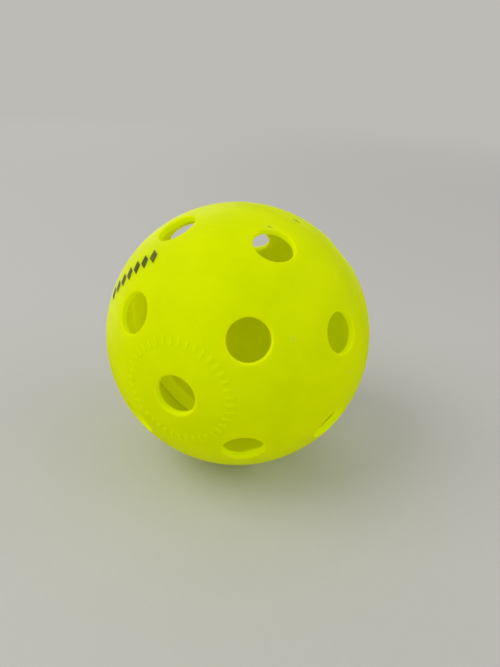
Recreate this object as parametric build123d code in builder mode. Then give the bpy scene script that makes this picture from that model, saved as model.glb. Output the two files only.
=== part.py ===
from build123d import *
import os
from math import cos, radians, sin, sqrt

# A hollow plastic pickleball ball of the large-hole, 26-hole kind. Two moulded
# hemispheres meet on a flat parting plane and are welded together there.
#
# Frame: origin at the centre of the ball, +Z up. The ball lies on a floor at
# z = -BALL_DIAMETER / 2. Its polar axis is horizontal, along Y, with the front
# pole towards -Y. The parting plane is y = 0.

# ---- driving dimensions, in millimetres and degrees ----
BALL_DIAMETER = 74.0        # regulation balls measure 72.9 to 75.5
WALL = 1.8                  # shell wall
HOLE_DIAMETER = 10.4        # every one of the 26 holes
HOLE_EDGE_RADIUS = 0.45     # rounding of each hole's outer edge
HOLE_INNER_RADIUS = 0.20    # rounding of each hole's inner edge

RING_1_POLAR = 35.9         # front half: polar angle of the four holes around the pole
RING_2_POLAR = 71.2         # front half: polar angle of the eight holes near the rim
REAR_RING_1_POLAR = 36.5    # rear half: its own mould, a little different
REAR_RING_2_POLAR = 69.7
RING_2_OFFSET = 22.5        # ring-2 holes lie this far either side of a ring-1 hole
FRONT_PHASE = 45.0          # turn of the front pattern, from +X towards +Z
REAR_PHASE = 23.8           # turn of the rear pattern: the halves are joined at any turn

RIM_BAND_HEIGHT = 3.9       # thickened rim inside the rear half
RIM_BAND_STEP = 0.8         # how far the band stands in from the wall
RIM_BAND_ROUND = 0.35       # rounding of the band's far edge
SPIGOT_LENGTH = 1.2         # the band laps this far into the front half and centres it
SPIGOT_GAP = 0.1            # clearance between the spigot and the front half's wall
SPIGOT_ROUND = 0.15         # rounding of the spigot's lead-in edge
GROOVE_WIDTH = 0.9          # groove in the rear rim
GROOVE_DEPTH = 1.5
GROOVE_RADIUS = 35.75       # mean radius of the groove and tongue
TONGUE_WIDTH = 0.7          # tongue on the front rim
TONGUE_HEIGHT = 1.2
TONGUE_ROOT = 0.6           # how far the tongue's root reaches into the front wall
SEAM_BREAK = 0.06           # edge break of each rim at the outside of the seam

TICK_COUNT = 40             # raised ring of plain ticks around the front pole
TICK_POLAR_MIN = 19.4
TICK_POLAR_MAX = 22.6
TICK_WIDTH = 0.75
TICK_HEIGHT = 0.22
TICK_ROOT = 0.30            # depth of each tick's root inside the wall

MARK_POLAR = 54.7           # centre of the printed mark
MARK_AZIMUTH = 135.0
MARK_THICKNESS = 0.05       # ink film
MARK_COUNT = 7              # plain lozenges in a row
MARK_PITCH = 2.9
MARK_LOZENGE_WIDTH = 2.4
MARK_LOZENGE_HEIGHT = 4.7

# ---- derived dimensions ----
R = BALL_DIAMETER / 2
RI = R - WALL
HOLE_R = HOLE_DIAMETER / 2


def radial_plane(polar, azimuth, distance=0.0):
    """Plane whose normal points out of the ball.

    polar is measured from the front pole (-Y), azimuth from +X towards +Z.
    """
    p, a = radians(polar), radians(azimuth)
    d = Vector(sin(p) * cos(a), -cos(p), sin(p) * sin(a))
    return Plane(origin=d * distance, x_dir=d.cross(Vector(0, 1, 0)) if polar % 180 else (1, 0, 0), z_dir=d)


def hole_planes(phase, ring_1, ring_2, front):
    """The 13 hole directions of one half: the pole, ring 1 of 4 and ring 2 of 8."""
    flip = (lambda polar: polar) if front else (lambda polar: 180.0 - polar)
    planes = [radial_plane(flip(0.0), 0.0)]
    for i in range(4):
        azimuth = phase + 90.0 * i
        planes.append(radial_plane(flip(ring_1), azimuth))
        planes.append(radial_plane(flip(ring_2), azimuth - RING_2_OFFSET))
        planes.append(radial_plane(flip(ring_2), azimuth + RING_2_OFFSET))
    return planes


def outer_rims(part):
    """Circular edges where the holes meet the outside of the ball."""
    level = sqrt(R**2 - HOLE_R**2)
    return part.edges().filter_by(GeomType.CIRCLE).filter_by(
        lambda e: abs(e.radius - HOLE_R) < 0.01 and abs(e.arc_center.length - level) < 0.02
    )


def inner_rims(part):
    """Circular edges where the holes meet the inside of the ball."""
    level = sqrt(RI**2 - HOLE_R**2)
    return part.edges().filter_by(GeomType.CIRCLE).filter_by(
        lambda e: abs(e.radius - HOLE_R) < 0.01 and abs(e.arc_center.length - level) < 0.02
    )


os.makedirs("parts", exist_ok=True)

# ---- raised ticks: a thin annular band of the sphere, cut down to ticks ----
with BuildPart() as tick_ring:
    with BuildSketch(Plane.XY):
        with BuildLine():
            a0, a1 = radians(TICK_POLAR_MIN), radians(TICK_POLAR_MAX)
            ro, rr = R + TICK_HEIGHT, R - TICK_ROOT
            outer = CenterArc((0, 0), ro, TICK_POLAR_MIN - 90, TICK_POLAR_MAX - TICK_POLAR_MIN)
            inner = CenterArc((0, 0), rr, TICK_POLAR_MIN - 90, TICK_POLAR_MAX - TICK_POLAR_MIN)
            Line(outer @ 0, inner @ 0)
            Line(outer @ 1, inner @ 1)
        make_face()
    revolve(axis=Axis.Y)
    with BuildSketch(Plane.XZ):
        with PolarLocations(R * sin(radians((TICK_POLAR_MIN + TICK_POLAR_MAX) / 2)), TICK_COUNT):
            Rectangle(4.0, TICK_WIDTH)
    extrude(amount=R + 2, mode=Mode.INTERSECT)

# ---- front half: shell, tongue, raised ticks, holes ----
with BuildPart() as front_half_shell:
    with BuildSketch(Plane.XY):
        with BuildLine():
            outer = CenterArc((0, 0), R, -90, 90)
            inner = CenterArc((0, 0), RI, -90, 90)
            Line(outer @ 0, inner @ 0)
            Line(outer @ 1, inner @ 1)
        make_face()
    revolve(axis=Axis.Y)
    with BuildSketch(Plane.XY):
        with Locations((GROOVE_RADIUS, (TONGUE_HEIGHT - TONGUE_ROOT) / 2)):
            Rectangle(TONGUE_WIDTH, TONGUE_HEIGHT + TONGUE_ROOT)
    revolve(axis=Axis.Y)
    seam = front_half_shell.edges().filter_by(GeomType.CIRCLE).filter_by(
        lambda e: abs(e.radius - R) < 0.01 and abs(e.arc_center.Y) < 0.01
    )
    chamfer(seam, SEAM_BREAK)
    add(tick_ring.part)
    with Locations(*hole_planes(FRONT_PHASE, RING_1_POLAR, RING_2_POLAR, front=True)):
        Cylinder(HOLE_R, R + 2, align=(Align.CENTER, Align.CENTER, Align.MIN), mode=Mode.SUBTRACT)
    fillet(outer_rims(front_half_shell), HOLE_EDGE_RADIUS)
    fillet(inner_rims(front_half_shell), HOLE_INNER_RADIUS)
front_half_shell.part.label = "front_half_shell"
export_step(front_half_shell.part, "parts/front_half_shell.step")

# ---- rear half: shell, thick rim band with groove, holes ----
with BuildPart() as rear_half_shell:
    with BuildSketch(Plane.XY):
        with BuildLine():
            outer = CenterArc((0, 0), R, 0, 90)
            inner = CenterArc((0, 0), RI, 0, 90)
            Line(outer @ 0, inner @ 0)
            Line(outer @ 1, inner @ 1)
        make_face()
    revolve(axis=Axis.Y)
    # the band follows the wall, RIM_BAND_STEP in from it, and laps past the parting plane as a spigot
    with BuildSketch(Plane.XY) as band:
        with BuildLine():
            rb = RI - RIM_BAND_STEP
            rs = sqrt(RI**2 - SPIGOT_LENGTH**2) - SPIGOT_GAP
            Polyline(
                (rb, -SPIGOT_LENGTH),
                (rs, -SPIGOT_LENGTH),
                (rs, 0),
                (RI + WALL / 2, 0),
                (sqrt((RI + WALL / 2) ** 2 - RIM_BAND_HEIGHT**2), RIM_BAND_HEIGHT),
                (sqrt(rb**2 - RIM_BAND_HEIGHT**2), RIM_BAND_HEIGHT),
                close=True,
            )
        make_face()
        far_edge = band.vertices().sort_by(Axis.Y)[-2:].sort_by(Axis.X)[0]
        fillet(far_edge, RIM_BAND_ROUND)
        fillet(band.vertices().sort_by(Axis.Y)[:2], SPIGOT_ROUND)
    revolve(axis=Axis.Y)
    with BuildSketch(Plane.XY):
        with Locations((GROOVE_RADIUS, GROOVE_DEPTH / 2)):
            Rectangle(GROOVE_WIDTH, GROOVE_DEPTH)
    revolve(axis=Axis.Y, mode=Mode.SUBTRACT)
    seam = rear_half_shell.edges().filter_by(GeomType.CIRCLE).filter_by(
        lambda e: abs(e.radius - R) < 0.01 and abs(e.arc_center.Y) < 0.01
    )
    chamfer(seam, SEAM_BREAK)
    with Locations(*hole_planes(REAR_PHASE, REAR_RING_1_POLAR, REAR_RING_2_POLAR, front=False)):
        Cylinder(HOLE_R, R + 2, align=(Align.CENTER, Align.CENTER, Align.MIN), mode=Mode.SUBTRACT)
    fillet(outer_rims(rear_half_shell), HOLE_EDGE_RADIUS)
    fillet(inner_rims(rear_half_shell), HOLE_INNER_RADIUS)
rear_half_shell.part.label = "rear_half_shell"
export_step(rear_half_shell.part, "parts/rear_half_shell.step")

# ---- weld bead: fills the groove above the tongue's tip ----
with BuildPart() as weld_bead:
    with BuildSketch(Plane.XY):
        with Locations((GROOVE_RADIUS, (TONGUE_HEIGHT + GROOVE_DEPTH) / 2)):
            Rectangle(GROOVE_WIDTH, GROOVE_DEPTH - TONGUE_HEIGHT)
    revolve(axis=Axis.Y)
weld_bead.part.label = "weld_bead"
export_step(weld_bead.part, "parts/weld_bead.step")

# ---- printed mark: an ink film on the outside, a plain row of lozenges ----
with BuildPart() as printed_mark:
    Sphere(R + MARK_THICKNESS)
    Sphere(R, mode=Mode.SUBTRACT)
    with BuildSketch(radial_plane(MARK_POLAR, MARK_AZIMUTH, R - 4)):
        with GridLocations(MARK_PITCH, 0, MARK_COUNT, 1):
            Polygon(
                (-MARK_LOZENGE_WIDTH / 2, 0),
                (0, -MARK_LOZENGE_HEIGHT / 2),
                (MARK_LOZENGE_WIDTH / 2, 0),
                (0, MARK_LOZENGE_HEIGHT / 2),
            )
    extrude(amount=6, mode=Mode.INTERSECT)
printed_mark.part.label = "printed_mark"
export_step(printed_mark.part, "parts/printed_mark.step")
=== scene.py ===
"""A hollow, two-piece, large-hole plastic pickleball ball lying on a plain pale floor.

The CAD nodes carry the shape: two welded half shells, the weld bead between them and a plain printed mark. This script gives
them their finishes, and sets the floor, the light and the camera.
"""

import math

import bpy
from mathutils import Matrix, Vector


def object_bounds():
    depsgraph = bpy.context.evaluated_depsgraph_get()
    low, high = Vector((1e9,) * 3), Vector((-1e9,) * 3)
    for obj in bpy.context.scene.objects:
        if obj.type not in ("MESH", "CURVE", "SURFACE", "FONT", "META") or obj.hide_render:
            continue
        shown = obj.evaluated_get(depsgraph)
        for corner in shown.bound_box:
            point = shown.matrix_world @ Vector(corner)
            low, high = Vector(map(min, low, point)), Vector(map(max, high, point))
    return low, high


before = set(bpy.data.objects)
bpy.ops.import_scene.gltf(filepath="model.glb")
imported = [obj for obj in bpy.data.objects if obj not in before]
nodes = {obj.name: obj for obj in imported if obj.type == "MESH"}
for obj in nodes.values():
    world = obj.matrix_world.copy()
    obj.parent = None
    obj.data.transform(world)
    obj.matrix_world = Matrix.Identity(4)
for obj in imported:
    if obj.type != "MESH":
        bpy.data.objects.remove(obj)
cad_low, cad_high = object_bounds()

# ---- sizes read from the frame, in metres ----
LOW, HIGH = Vector(cad_low), Vector(cad_high)
CENTRE = (LOW + HIGH) / 2
R = (HIGH.z - LOW.z) / 2

# ---- the moulded features, in metres and degrees; they place the painted glow and the painted inside colour on the shells ----
FRONT_RINGS, FRONT_PHASE = (35.9, 71.2), 45.0
REAR_RINGS, REAR_PHASE = (36.5, 69.7), 23.8
HOLE_R = 0.0052
WALL = 0.0018
BAND_LOW, BAND_HIGH = -0.0012, 0.0039


# ------------------------------------------------------------------ node helpers
class Tree:
    """A small wrapper that keeps a node tree readable."""

    def __init__(self, mat):
        mat.use_nodes = True
        self.nt = mat.node_tree
        self.nt.nodes.clear()
        self.out = self.nt.nodes.new("ShaderNodeOutputMaterial")
        self.p = self.nt.nodes.new("ShaderNodeBsdfPrincipled")
        self.nt.links.new(self.p.outputs[0], self.out.inputs["Surface"])

    def link(self, value, socket):
        if isinstance(value, bpy.types.NodeSocket):
            self.nt.links.new(value, socket)
        else:
            socket.default_value = value

    def new(self, kind, **props):
        n = self.nt.nodes.new(kind)
        for k, v in props.items():
            setattr(n, k, v)
        return n

    def position(self):
        return self.new("ShaderNodeTexCoord").outputs["Object"]

    def split(self, vector):
        n = self.new("ShaderNodeSeparateXYZ")
        self.link(vector, n.inputs[0])
        return n.outputs[0], n.outputs[1], n.outputs[2]

    def maths(self, op, a, b=0.0, c=0.0, clamp=False):
        n = self.new("ShaderNodeMath", operation=op, use_clamp=clamp)
        for v, s in zip((a, b, c), n.inputs):
            self.link(v, s)
        return n.outputs[0]

    def vector(self, op, a, b=(0, 0, 0), out=0):
        n = self.new("ShaderNodeVectorMath", operation=op)
        self.link(a, n.inputs[0])
        self.link(b, n.inputs[1])
        return n.outputs[out]

    def scaled(self, a, by):
        n = self.new("ShaderNodeVectorMath", operation="SCALE")
        self.link(a, n.inputs[0])
        n.inputs["Scale"].default_value = by
        return n.outputs[0]

    def noise(self, vector, scale, detail=2.0, rough=0.5, distortion=0.0, out="Fac"):
        n = self.new("ShaderNodeTexNoise")
        self.link(vector, n.inputs["Vector"])
        n.inputs["Scale"].default_value = scale
        n.inputs["Detail"].default_value = detail
        n.inputs["Roughness"].default_value = rough
        n.inputs["Distortion"].default_value = distortion
        return n.outputs[out]

    def ramp(self, value, low, high, to_low=0.0, to_high=1.0, smooth=True):
        n = self.new("ShaderNodeMapRange", clamp=True, interpolation_type="SMOOTHSTEP" if smooth else "LINEAR")
        self.link(value, n.inputs["Value"])
        n.inputs["From Min"].default_value = low
        n.inputs["From Max"].default_value = high
        n.inputs["To Min"].default_value = to_low
        n.inputs["To Max"].default_value = to_high
        return n.outputs[0]

    def mix(self, fac, a, b):
        n = self.new("ShaderNodeMix", data_type="RGBA")
        self.link(fac, n.inputs[0])
        self.link(a, n.inputs[6])
        self.link(b, n.inputs[7])
        return n.outputs[2]

    def bump(self, height, distance, strength=1.0, normal=None):
        n = self.new("ShaderNodeBump")
        n.inputs["Strength"].default_value = strength
        n.inputs["Distance"].default_value = distance
        self.link(height, n.inputs["Height"])
        if normal is not None:
            self.link(normal, n.inputs["Normal"])
        return n.outputs[0]


def rgb(r, g, b):
    """sRGB 0-255 to linear."""

    def lin(v):
        v /= 255.0
        return v / 12.92 if v <= 0.04045 else ((v + 0.055) / 1.055) ** 2.4

    return (lin(r), lin(g), lin(b), 1.0)


# ------------------------------------------------------------------ materials
def local(t, pos, centre, along, length, width):
    """Distance from a spot on the ball, 0 at its middle and 1 at the edge of a length x width ellipse."""
    n = Vector(centre).normalized()
    u = Vector(along) - Vector(along).dot(n) * n
    u.normalize()
    v = n.cross(u)
    rel = t.vector("SUBTRACT", pos, tuple(n * R))
    a = t.maths("DIVIDE", t.vector("DOT_PRODUCT", rel, tuple(u), out=1), length / 2)
    b = t.maths("DIVIDE", t.vector("DOT_PRODUCT", rel, tuple(v), out=1), width / 2)
    c = t.maths("DIVIDE", t.vector("DOT_PRODUCT", rel, tuple(n), out=1), length)
    return t.maths("SQRT", t.maths("ADD", t.maths("ADD", t.maths("MULTIPLY", a, a), t.maths("MULTIPLY", b, b)), t.maths("MULTIPLY", c, c)))


def hole_distance(t, pos, front):
    """Distance from the axis of the nearest hole: the pole's, or one of the two rings', whose pattern repeats around the polar axis."""
    x, y, z = t.split(pos)
    h = t.maths("MULTIPLY", y, -1.0 if front else 1.0)
    rho = t.maths("SQRT", t.maths("ADD", t.maths("MULTIPLY", x, x), t.maths("MULTIPLY", z, z)))
    azimuth = t.maths("ARCTAN2", z, x)
    square = t.vector("DOT_PRODUCT", pos, pos, out=1)
    phase, rings = (FRONT_PHASE, FRONT_RINGS) if front else (REAR_PHASE, REAR_RINGS)
    near = rho
    for polar, period, start in ((rings[0], 90.0, phase), (rings[1], 45.0, phase + 22.5)):
        turn = t.maths("PINGPONG", t.maths("SUBTRACT", azimuth, math.radians(start)), math.radians(period / 2))
        across = t.maths("MULTIPLY", t.maths("MULTIPLY", rho, math.sin(math.radians(polar))), t.maths("COSINE", turn))
        along = t.maths("ADD", across, t.maths("MULTIPLY", h, math.cos(math.radians(polar))))
        off = t.maths("SQRT", t.maths("MAXIMUM", t.maths("SUBTRACT", square, t.maths("MULTIPLY", along, along)), 0.0))
        near = t.maths("MINIMUM", near, off)
    return near


def plastic(name, front):
    """Fluorescent, slightly translucent moulded plastic, with painted light: emission paints a glow on the holes'
    walls, the inner band, the inside and a few other places on the shell.
    """
    mat = bpy.data.materials.new(name)
    t = Tree(mat)
    pos = t.position()
    radius = t.vector("LENGTH", pos, out=1)
    x, y, z = t.split(pos)

    # where on the shell: the holes' walls and rounded edges, the inside, the band inside the seam, the raised ticks
    edge = t.ramp(hole_distance(t, pos, front), HOLE_R + 0.00008, HOLE_R + 0.00055, 1.0, 0.0)
    deep = t.maths("MULTIPLY", t.ramp(radius, R - 0.0012, R - WALL + 0.00015), t.maths("SUBTRACT", 1.0, edge))
    # painted light: the band inside the seam gets its own emission, with less of it on the rear shell where the painted
    # light through the wall is strong
    band = t.maths("MULTIPLY", t.ramp(y, BAND_HIGH, BAND_HIGH + 0.0001, 1.0, 0.0), t.ramp(y, BAND_LOW - 0.0001, BAND_LOW, 0.0, 1.0))
    band = t.maths("MULTIPLY", band, t.ramp(radius, R - 0.0022, R - 0.0024))
    # painted light: emission on the holes' walls and rounded edges, rising towards the inner surface on the front shell
    # and falling there on the rear
    painted_edge_light = t.maths("MULTIPLY", edge, t.ramp(radius, R - 0.0002, R - WALL, 0.35, 1.0 if front else 0.2, smooth=False))
    # painted light: emission on the inner surface along the crease by the band's low edge lifts its shade
    painted_crease_light = t.ramp(t.maths("ABSOLUTE", t.maths("ADD", y, 0.0013)), 0.00015, 0.0007, 1.0, 0.0)
    painted_crease_light = t.maths("MULTIPLY", painted_crease_light, t.ramp(radius, R - WALL + 0.0003, R - WALL))
    # painted highlight: the tops of the raised ticks get extra emission
    painted_tick_highlight = t.ramp(radius, R + 0.00004, R + 0.00016)
    # painted light: a narrow strip of emission along the seam on the outside lifts the shade of its groove
    seam = t.maths("MULTIPLY", t.ramp(t.maths("ABSOLUTE", y), 0.00006, 0.00012, 1.0, 0.0), t.ramp(radius, R - 0.0006, R - 0.0003))
    # painted light on the inside, standing in for light that comes through the wall: most where the wall faces the key
    # light, some where it faces the floor, and some where it faces WALL_WAY
    way = t.vector("NORMALIZE", pos)
    painted_lamp_light = t.maths("MULTIPLY", deep, t.ramp(t.vector("DOT_PRODUCT", way, LAMP_WAY, out=1), 0.10, 0.90))
    if front:
        painted_lamp_amount = GLOW_LAMP * 1.4
    else:
        painted_lamp_amount = GLOW_LAMP
        band = t.maths("MULTIPLY", band, t.maths("SUBTRACT", 1.0, t.maths("MULTIPLY", painted_lamp_light, 0.35)))
    painted_light_behind = t.maths("MULTIPLY", deep, t.ramp(t.vector("DOT_PRODUCT", way, WALL_WAY, out=1), 0.25, 0.95))
    painted_floor_light = t.maths("MULTIPLY", deep, t.ramp(t.vector("DOT_PRODUCT", way, FLOOR_WAY, out=1), 0.15, 0.90))

    # colour: a faint cloudiness from the flow of the plastic; the inside is painted a warmer copy of the outside
    # colour, standing in for the light that reaches it through the shell
    cloud = t.noise(pos, 70.0, 3.0, 0.55)
    outside = t.mix(t.ramp(cloud, 0.32, 0.68), OUT_A, OUT_B)
    inside = t.mix(t.ramp(cloud, 0.32, 0.68), PAINTED_INSIDE_A, PAINTED_INSIDE_B)
    base = t.mix(deep, outside, inside)

    # handling grime: a few flecks, and short scuffs with a pale rubbed patch around each
    skin = t.ramp(radius, R - 0.0003, R - 0.0001)
    fleck = t.noise(pos, 420.0, 1.0, 0.4)
    flecks = t.maths("MULTIPLY", t.ramp(fleck, 0.79, 0.82), skin)
    base = t.mix(t.maths("MULTIPLY", flecks, 0.08), base, (0.34, 0.36, 0.02, 1))
    dents = flecks
    dirt = 0.0
    pale = None
    ragged = t.noise(pos, 1500.0, 2.0, 0.6)
    for centre, along, length, width, depth in SCUFFS:
        d = local(t, pos, centre, along, length, width)
        m = t.ramp(t.maths("ADD", d, t.maths("MULTIPLY", ragged, 0.9)), 0.95, 1.45, 1.0, 0.0)
        base = t.mix(t.maths("MULTIPLY", m, depth), base, (0.16, 0.18, 0.01, 1))
        dents = t.maths("MAXIMUM", dents, m)
        dirt = t.maths("MAXIMUM", dirt, t.maths("MULTIPLY", m, depth))
        halo = t.ramp(t.maths("ADD", local(t, pos, centre, along, length * 2.6, width * 4.0), t.maths("MULTIPLY", ragged, 0.8)), 0.8, 1.5, 1.0, 0.0)
        pale = halo if pale is None else t.maths("MAXIMUM", pale, halo)
    base = t.mix(t.maths("MULTIPLY", pale, 0.05), base, (0.78, 0.82, 0.25, 1))

    p = t.p
    t.link(base, p.inputs["Base Color"])
    rub = t.noise(t.vector("MULTIPLY", pos, (1.0, 0.35, 1.0)), 600.0, 3.0, 0.6)
    t.link(t.ramp(rub, 0.3, 0.7, ROUGH - 0.05, ROUGH + 0.07), p.inputs["Roughness"])
    p.inputs["IOR"].default_value = 1.50
    p.inputs["Specular IOR Level"].default_value = SPEC
    p.inputs["Specular Tint"].default_value = TINT
    t.link(t.maths("SUBTRACT", 1.0, dirt), p.inputs["Subsurface Weight"])
    p.inputs["Subsurface Radius"].default_value = SSS_RADIUS
    p.inputs["Subsurface Scale"].default_value = SSS_SCALE

    # painted glow: a faint emission all over stands in for the dye's fluorescent brightness, and the masks add painted
    # light on top; the colour carries the amount, so the strength stays at 1
    painted_glow = t.mix(deep, tuple(GLOW_OUT * v for v in GLOW_COLOUR) + (1,), tuple(GLOW_IN * v for v in GLOW_COLOUR_IN) + (1,))
    for mask, amount, colour in (
        (painted_edge_light, GLOW_EDGE, GLOW_COLOUR),
        (band, GLOW_BAND, GLOW_COLOUR_IN),
        (painted_crease_light, GLOW_CREASE, GLOW_COLOUR_IN),
        (painted_lamp_light, painted_lamp_amount, GLOW_COLOUR_IN),
        (painted_light_behind, GLOW_BEHIND, (0.62, 1.0, 0.0)),
        (painted_floor_light, GLOW_UNDER, GLOW_COLOUR_IN),
        (painted_tick_highlight, GLOW_TICK, GLOW_COLOUR),
        (seam, GLOW_SEAM, GLOW_COLOUR),
    ):
        add = t.new("ShaderNodeMix", data_type="RGBA", blend_type="ADD")
        t.link(mask, add.inputs[0])
        t.link(painted_glow, add.inputs[6])
        t.link(tuple(amount * v for v in colour) + (1,), add.inputs[7])
        painted_glow = add.outputs[2]
    t.link(t.mix(dirt, painted_glow, (0, 0, 0, 1)), p.inputs["Emission Color"])
    p.inputs["Emission Strength"].default_value = 1.0

    # surface: fine mould grain, slow waviness, and the dents
    grain = t.noise(pos, 2600.0, 2.0, 0.6)
    n1 = t.bump(grain, 0.00002, 0.30)
    wave = t.noise(pos, 150.0, 2.0, 0.5)
    n2 = t.bump(wave, 0.00012, 0.35, n1)
    n3 = t.bump(t.maths("MULTIPLY", dents, -1.0), 0.00008, 0.8, n2)
    t.link(n3, p.inputs["Normal"])
    return mat


OUT_A, OUT_B = (0.69, 0.83, 0.0, 1), (0.74, 0.88, 0.0, 1)
PAINTED_INSIDE_A, PAINTED_INSIDE_B = (0.74, 0.785, 0.0, 1), (0.80, 0.845, 0.0, 1)
SPEC, ROUGH, TINT = 0.05, 0.42, (1.0, 1.0, 0.0, 1)
SSS_RADIUS, SSS_SCALE = (1.0, 0.85, 0.1), 0.003
# colours and amounts of the painted glow and the painted light
GLOW_COLOUR, GLOW_COLOUR_IN = (0.80, 1.0, 0.0), (0.92, 1.0, 0.0)
GLOW_OUT, GLOW_IN, GLOW_EDGE, GLOW_BAND, GLOW_CREASE, GLOW_TICK = 0.045, 0.0, 0.17, 0.10, 0.01, 0.02
GLOW_LAMP, LAMP_WAY = 0.108, (-0.86, 0.0, 0.51)
GLOW_UNDER, FLOOR_WAY = 0.050, (0.25, -0.30, -0.92)
GLOW_BEHIND, WALL_WAY = 0.056, (0.76, 0.58, 0.28)
GLOW_SEAM = 0.09

# each scuff: its place on the ball, the way it runs, its length and width, and how dark it is
SCUFFS = (
    ((0.3613, 0.0951, 0.9276), (1.0, 0.1, -0.5), 0.0028, 0.0011, 0.78),
    ((0.2761, -0.1977, 0.9406), (1.0, 0.2, -0.3), 0.0019, 0.0009, 0.38),
    ((0.6412, -0.6480, 0.4110), (1.0, 0.6, 0.1), 0.0011, 0.0006, 0.08),
    ((0.9481, -0.3078, 0.0796), (0.1, 0.6, 1.0), 0.0010, 0.0006, 0.20),
    ((-0.42, 0.80, 0.43), (1.0, 0.2, 0.6), 0.0028, 0.0006, 0.55),
    ((0.55, 0.62, -0.30), (0.3, 0.2, 1.0), 0.0018, 0.0005, 0.45),
    ((0.10, 0.75, 0.62), (1.0, -0.3, 0.2), 0.0014, 0.0005, 0.40),
)


def ink(name):
    """Thin pad-printed ink: the plastic shows through where it is worn."""
    mat = bpy.data.materials.new(name)
    t = Tree(mat)
    pos = t.position()
    worn = t.noise(pos, 900.0, 4.0, 0.65)
    wide = t.noise(pos, 260.0, 2.0, 0.5)
    wear = t.ramp(t.maths("ADD", worn, t.maths("MULTIPLY", wide, 0.5)), 0.68, 1.02)
    t.link(t.mix(wear, rgb(82, 84, 22), rgb(138, 142, 24)), t.p.inputs["Base Color"])
    t.link(t.ramp(worn, 0.3, 0.7, 0.42, 0.60), t.p.inputs["Roughness"])
    t.p.inputs["Specular IOR Level"].default_value = 0.35
    t.link(t.bump(worn, 0.00001, 0.4), t.p.inputs["Normal"])
    return mat


def weld(name):
    """The squeezed-out plastic of the weld."""
    mat = bpy.data.materials.new(name)
    t = Tree(mat)
    pos = t.position()
    ripple = t.noise(pos, 500.0, 3.0, 0.6)
    t.link(t.mix(ripple, (0.66, 0.78, 0.0, 1), (0.74, 0.86, 0.0, 1)), t.p.inputs["Base Color"])
    t.link(t.ramp(ripple, 0.3, 0.7, 0.32, 0.46), t.p.inputs["Roughness"])
    t.p.inputs["Specular IOR Level"].default_value = SPEC
    t.p.inputs["Specular Tint"].default_value = TINT
    t.p.inputs["Subsurface Weight"].default_value = 1.0
    t.p.inputs["Subsurface Radius"].default_value = SSS_RADIUS
    t.p.inputs["Subsurface Scale"].default_value = SSS_SCALE
    # painted glow: the same faint emission as the shells' outside
    t.p.inputs["Emission Color"].default_value = GLOW_COLOUR + (1,)
    t.p.inputs["Emission Strength"].default_value = GLOW_OUT
    t.link(t.bump(ripple, 0.00005, 0.5), t.p.inputs["Normal"])
    return mat


def set_material(node, mat):
    o = nodes[node]
    if not o.material_slots:
        o.data.materials.append(mat)
    for s in o.material_slots:
        s.material = mat


set_material("front_half_shell", plastic("front_shell_plastic", True))
set_material("rear_half_shell", plastic("rear_shell_plastic", False))
set_material("weld_bead", weld("weld_plastic"))
set_material("printed_mark", ink("mark_ink"))

# ------------------------------------------------------------------ floor and backdrop
BACKDROP = (0.505, 0.492, 0.458, 1)      # what the eye sees beyond the floor
FLOOR = (0.64, 0.625, 0.59, 1)
SKY, SKY_STRENGTH = (0.97, 0.985, 1.0, 1), 0.50

floor_mesh = bpy.data.meshes.new("floor")
S = 8.0
floor_mesh.from_pydata(
    [(-S, -S, LOW.z), (S, -S, LOW.z), (S, S, LOW.z), (-S, S, LOW.z)], [], [(0, 1, 2, 3)]
)
floor = bpy.data.objects.new("floor", floor_mesh)
bpy.context.scene.collection.objects.link(floor)
fm = bpy.data.materials.new("pale_floor")
ft = Tree(fm)
fpos = ft.position()
grit = ft.noise(fpos, 900.0, 3.0, 0.6)
ft.link(ft.mix(ft.ramp(grit, 0.3, 0.7), tuple(v * 0.985 for v in FLOOR[:3]) + (1,), FLOOR), ft.p.inputs["Base Color"])
ft.p.inputs["Roughness"].default_value = 0.85
ft.p.inputs["Specular IOR Level"].default_value = 0.2
# far away the floor fades into the backdrop, so that no horizon shows
far = ft.ramp(ft.vector("LENGTH", fpos, out=1), 0.16, 0.95)
glow = ft.new("ShaderNodeEmission")
glow.inputs["Color"].default_value = BACKDROP
blend = ft.new("ShaderNodeMixShader")
ft.link(far, blend.inputs[0])
ft.link(ft.p.outputs[0], blend.inputs[1])
ft.link(glow.outputs[0], blend.inputs[2])
# painted reflection: to glossy rays the floor shows as a dim surface, with a bright strip on the key light's side
# painted there like a white card
painted_reflection = ft.new("ShaderNodeEmission")
card = ft.ramp(ft.vector("DOT_PRODUCT", fpos, (-0.91, 0.41, 0.0), out=1), 0.07, 0.16)     # a white card on the key light's side
ft.link(ft.mix(card, (0.11, 0.11, 0.10, 1), (0.85, 0.84, 0.82, 1)), painted_reflection.inputs["Color"])
mirrored = ft.new("ShaderNodeMixShader")
ft.link(ft.new("ShaderNodeLightPath").outputs["Is Glossy Ray"], mirrored.inputs[0])
ft.link(blend.outputs[0], mirrored.inputs[1])
ft.link(painted_reflection.outputs[0], mirrored.inputs[2])
ft.link(mirrored.outputs[0], ft.out.inputs["Surface"])
floor_mesh.materials.append(fm)

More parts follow.
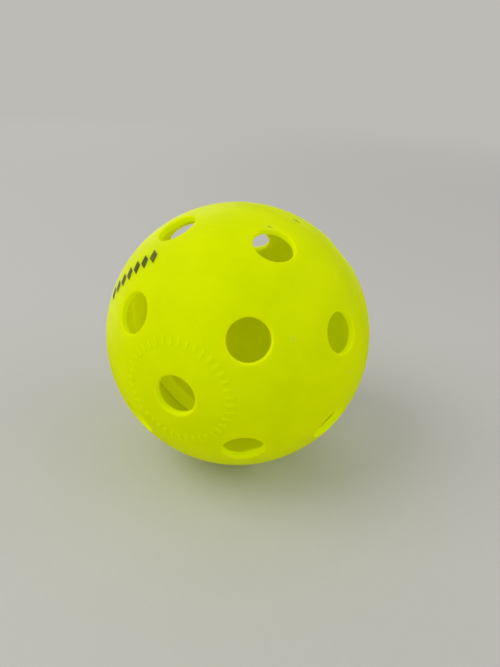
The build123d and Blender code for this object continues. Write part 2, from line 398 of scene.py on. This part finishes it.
world = bpy.data.worlds.new("studio")
bpy.context.scene.world = world
world.use_nodes = True
wt = world.node_tree
bg = wt.nodes["Background"]
bg.inputs["Color"].default_value = SKY
bg.inputs["Strength"].default_value = SKY_STRENGTH
seen_bg = wt.nodes.new("ShaderNodeBackground")
seen_bg.inputs["Color"].default_value = BACKDROP
seen_bg.inputs["Strength"].default_value = 1.0
dim_bg = wt.nodes.new("ShaderNodeBackground")       # what a shiny surface mirrors: a darker room
dim_bg.inputs["Color"].default_value = SKY
dim_bg.inputs["Strength"].default_value = SKY_STRENGTH * 0.35
path = wt.nodes.new("ShaderNodeLightPath")
mirror = wt.nodes.new("ShaderNodeMixShader")
wt.links.new(path.outputs["Is Glossy Ray"], mirror.inputs[0])
wt.links.new(bg.outputs[0], mirror.inputs[1])
wt.links.new(dim_bg.outputs[0], mirror.inputs[2])
choose = wt.nodes.new("ShaderNodeMixShader")
wt.links.new(path.outputs["Is Camera Ray"], choose.inputs[0])
wt.links.new(mirror.outputs[0], choose.inputs[1])
wt.links.new(seen_bg.outputs[0], choose.inputs[2])
wt.links.new(choose.outputs[0], wt.nodes["World Output"].inputs["Surface"])

# ------------------------------------------------------------------ camera, at the ball's own viewing angle
right = Vector((0.9191553539565722, 0.3909871788511352, 0.047775110798919274))
up = Vector((-0.21601294409306493, 0.39892173221372, 0.8911789155673797))
back = Vector((0.3293810000926968, -0.8294519139417519, 0.4511293375921141))
eye = CENTRE + Vector((1.5153049159431176, -3.572777608954699, 1.965098259291522)) * R
cam_data = bpy.data.cameras.new("camera")
cam_data.sensor_fit = "AUTO"
cam_data.sensor_width = 36.0
cam_data.lens = 557.490471 * 36.0 / 667.0
cam_data.dof.use_dof = True          # a phone's small lens, close up: the far side is slightly soft
cam_data.dof.focus_distance = 0.138
cam_data.dof.aperture_fstop = 17.0
cam_data.clip_start = 0.005
cam_data.clip_end = 100.0
cam = bpy.data.objects.new("camera", cam_data)
rot = Matrix((right, up, back)).transposed().to_4x4()
cam.matrix_world = Matrix.Translation(eye) @ rot
bpy.context.scene.collection.objects.link(cam)
bpy.context.scene.camera = cam


# ------------------------------------------------------------------ lights
def area(name, place, target, size, power, colour):
    d = bpy.data.lights.new(name, "AREA")
    d.shape = "DISK"
    d.size = size
    d.energy = power
    d.color = colour
    o = bpy.data.objects.new(name, d)
    o.location = place
    o.rotation_euler = (Vector(target) - Vector(place)).to_track_quat("-Z", "Y").to_euler()
    o.visible_camera = False
    bpy.context.scene.collection.objects.link(o)
    return o


# directions are given in the camera's own right, up and back
def seen(r, u, b, dist):
    return CENTRE + (right * r + up * u + back * b).normalized() * dist


KEY, BACK, FILL, LOWER = 2.75, 0.8, 1.38, 0.89
area("key", seen(-0.70, 0.70, 0.60, 0.9), CENTRE, 0.7, KEY, (1.0, 0.99, 0.97))
area("back", CENTRE + Vector((-0.66, 0.70, 0.28)).normalized() * 0.9, CENTRE, 0.6, BACK, (1.0, 0.99, 0.97))
area("fill", seen(0.95, 0.40, 0.42, 1.0), CENTRE, 0.9, FILL, (1.0, 0.99, 0.97))
area("lower", seen(-0.10, -0.28, 1.0, 1.0), CENTRE, 0.8, LOWER, (1.0, 0.91, 0.80))

bpy.context.scene.view_settings.view_transform = "Standard"
bpy.context.scene.view_settings.look = "None"
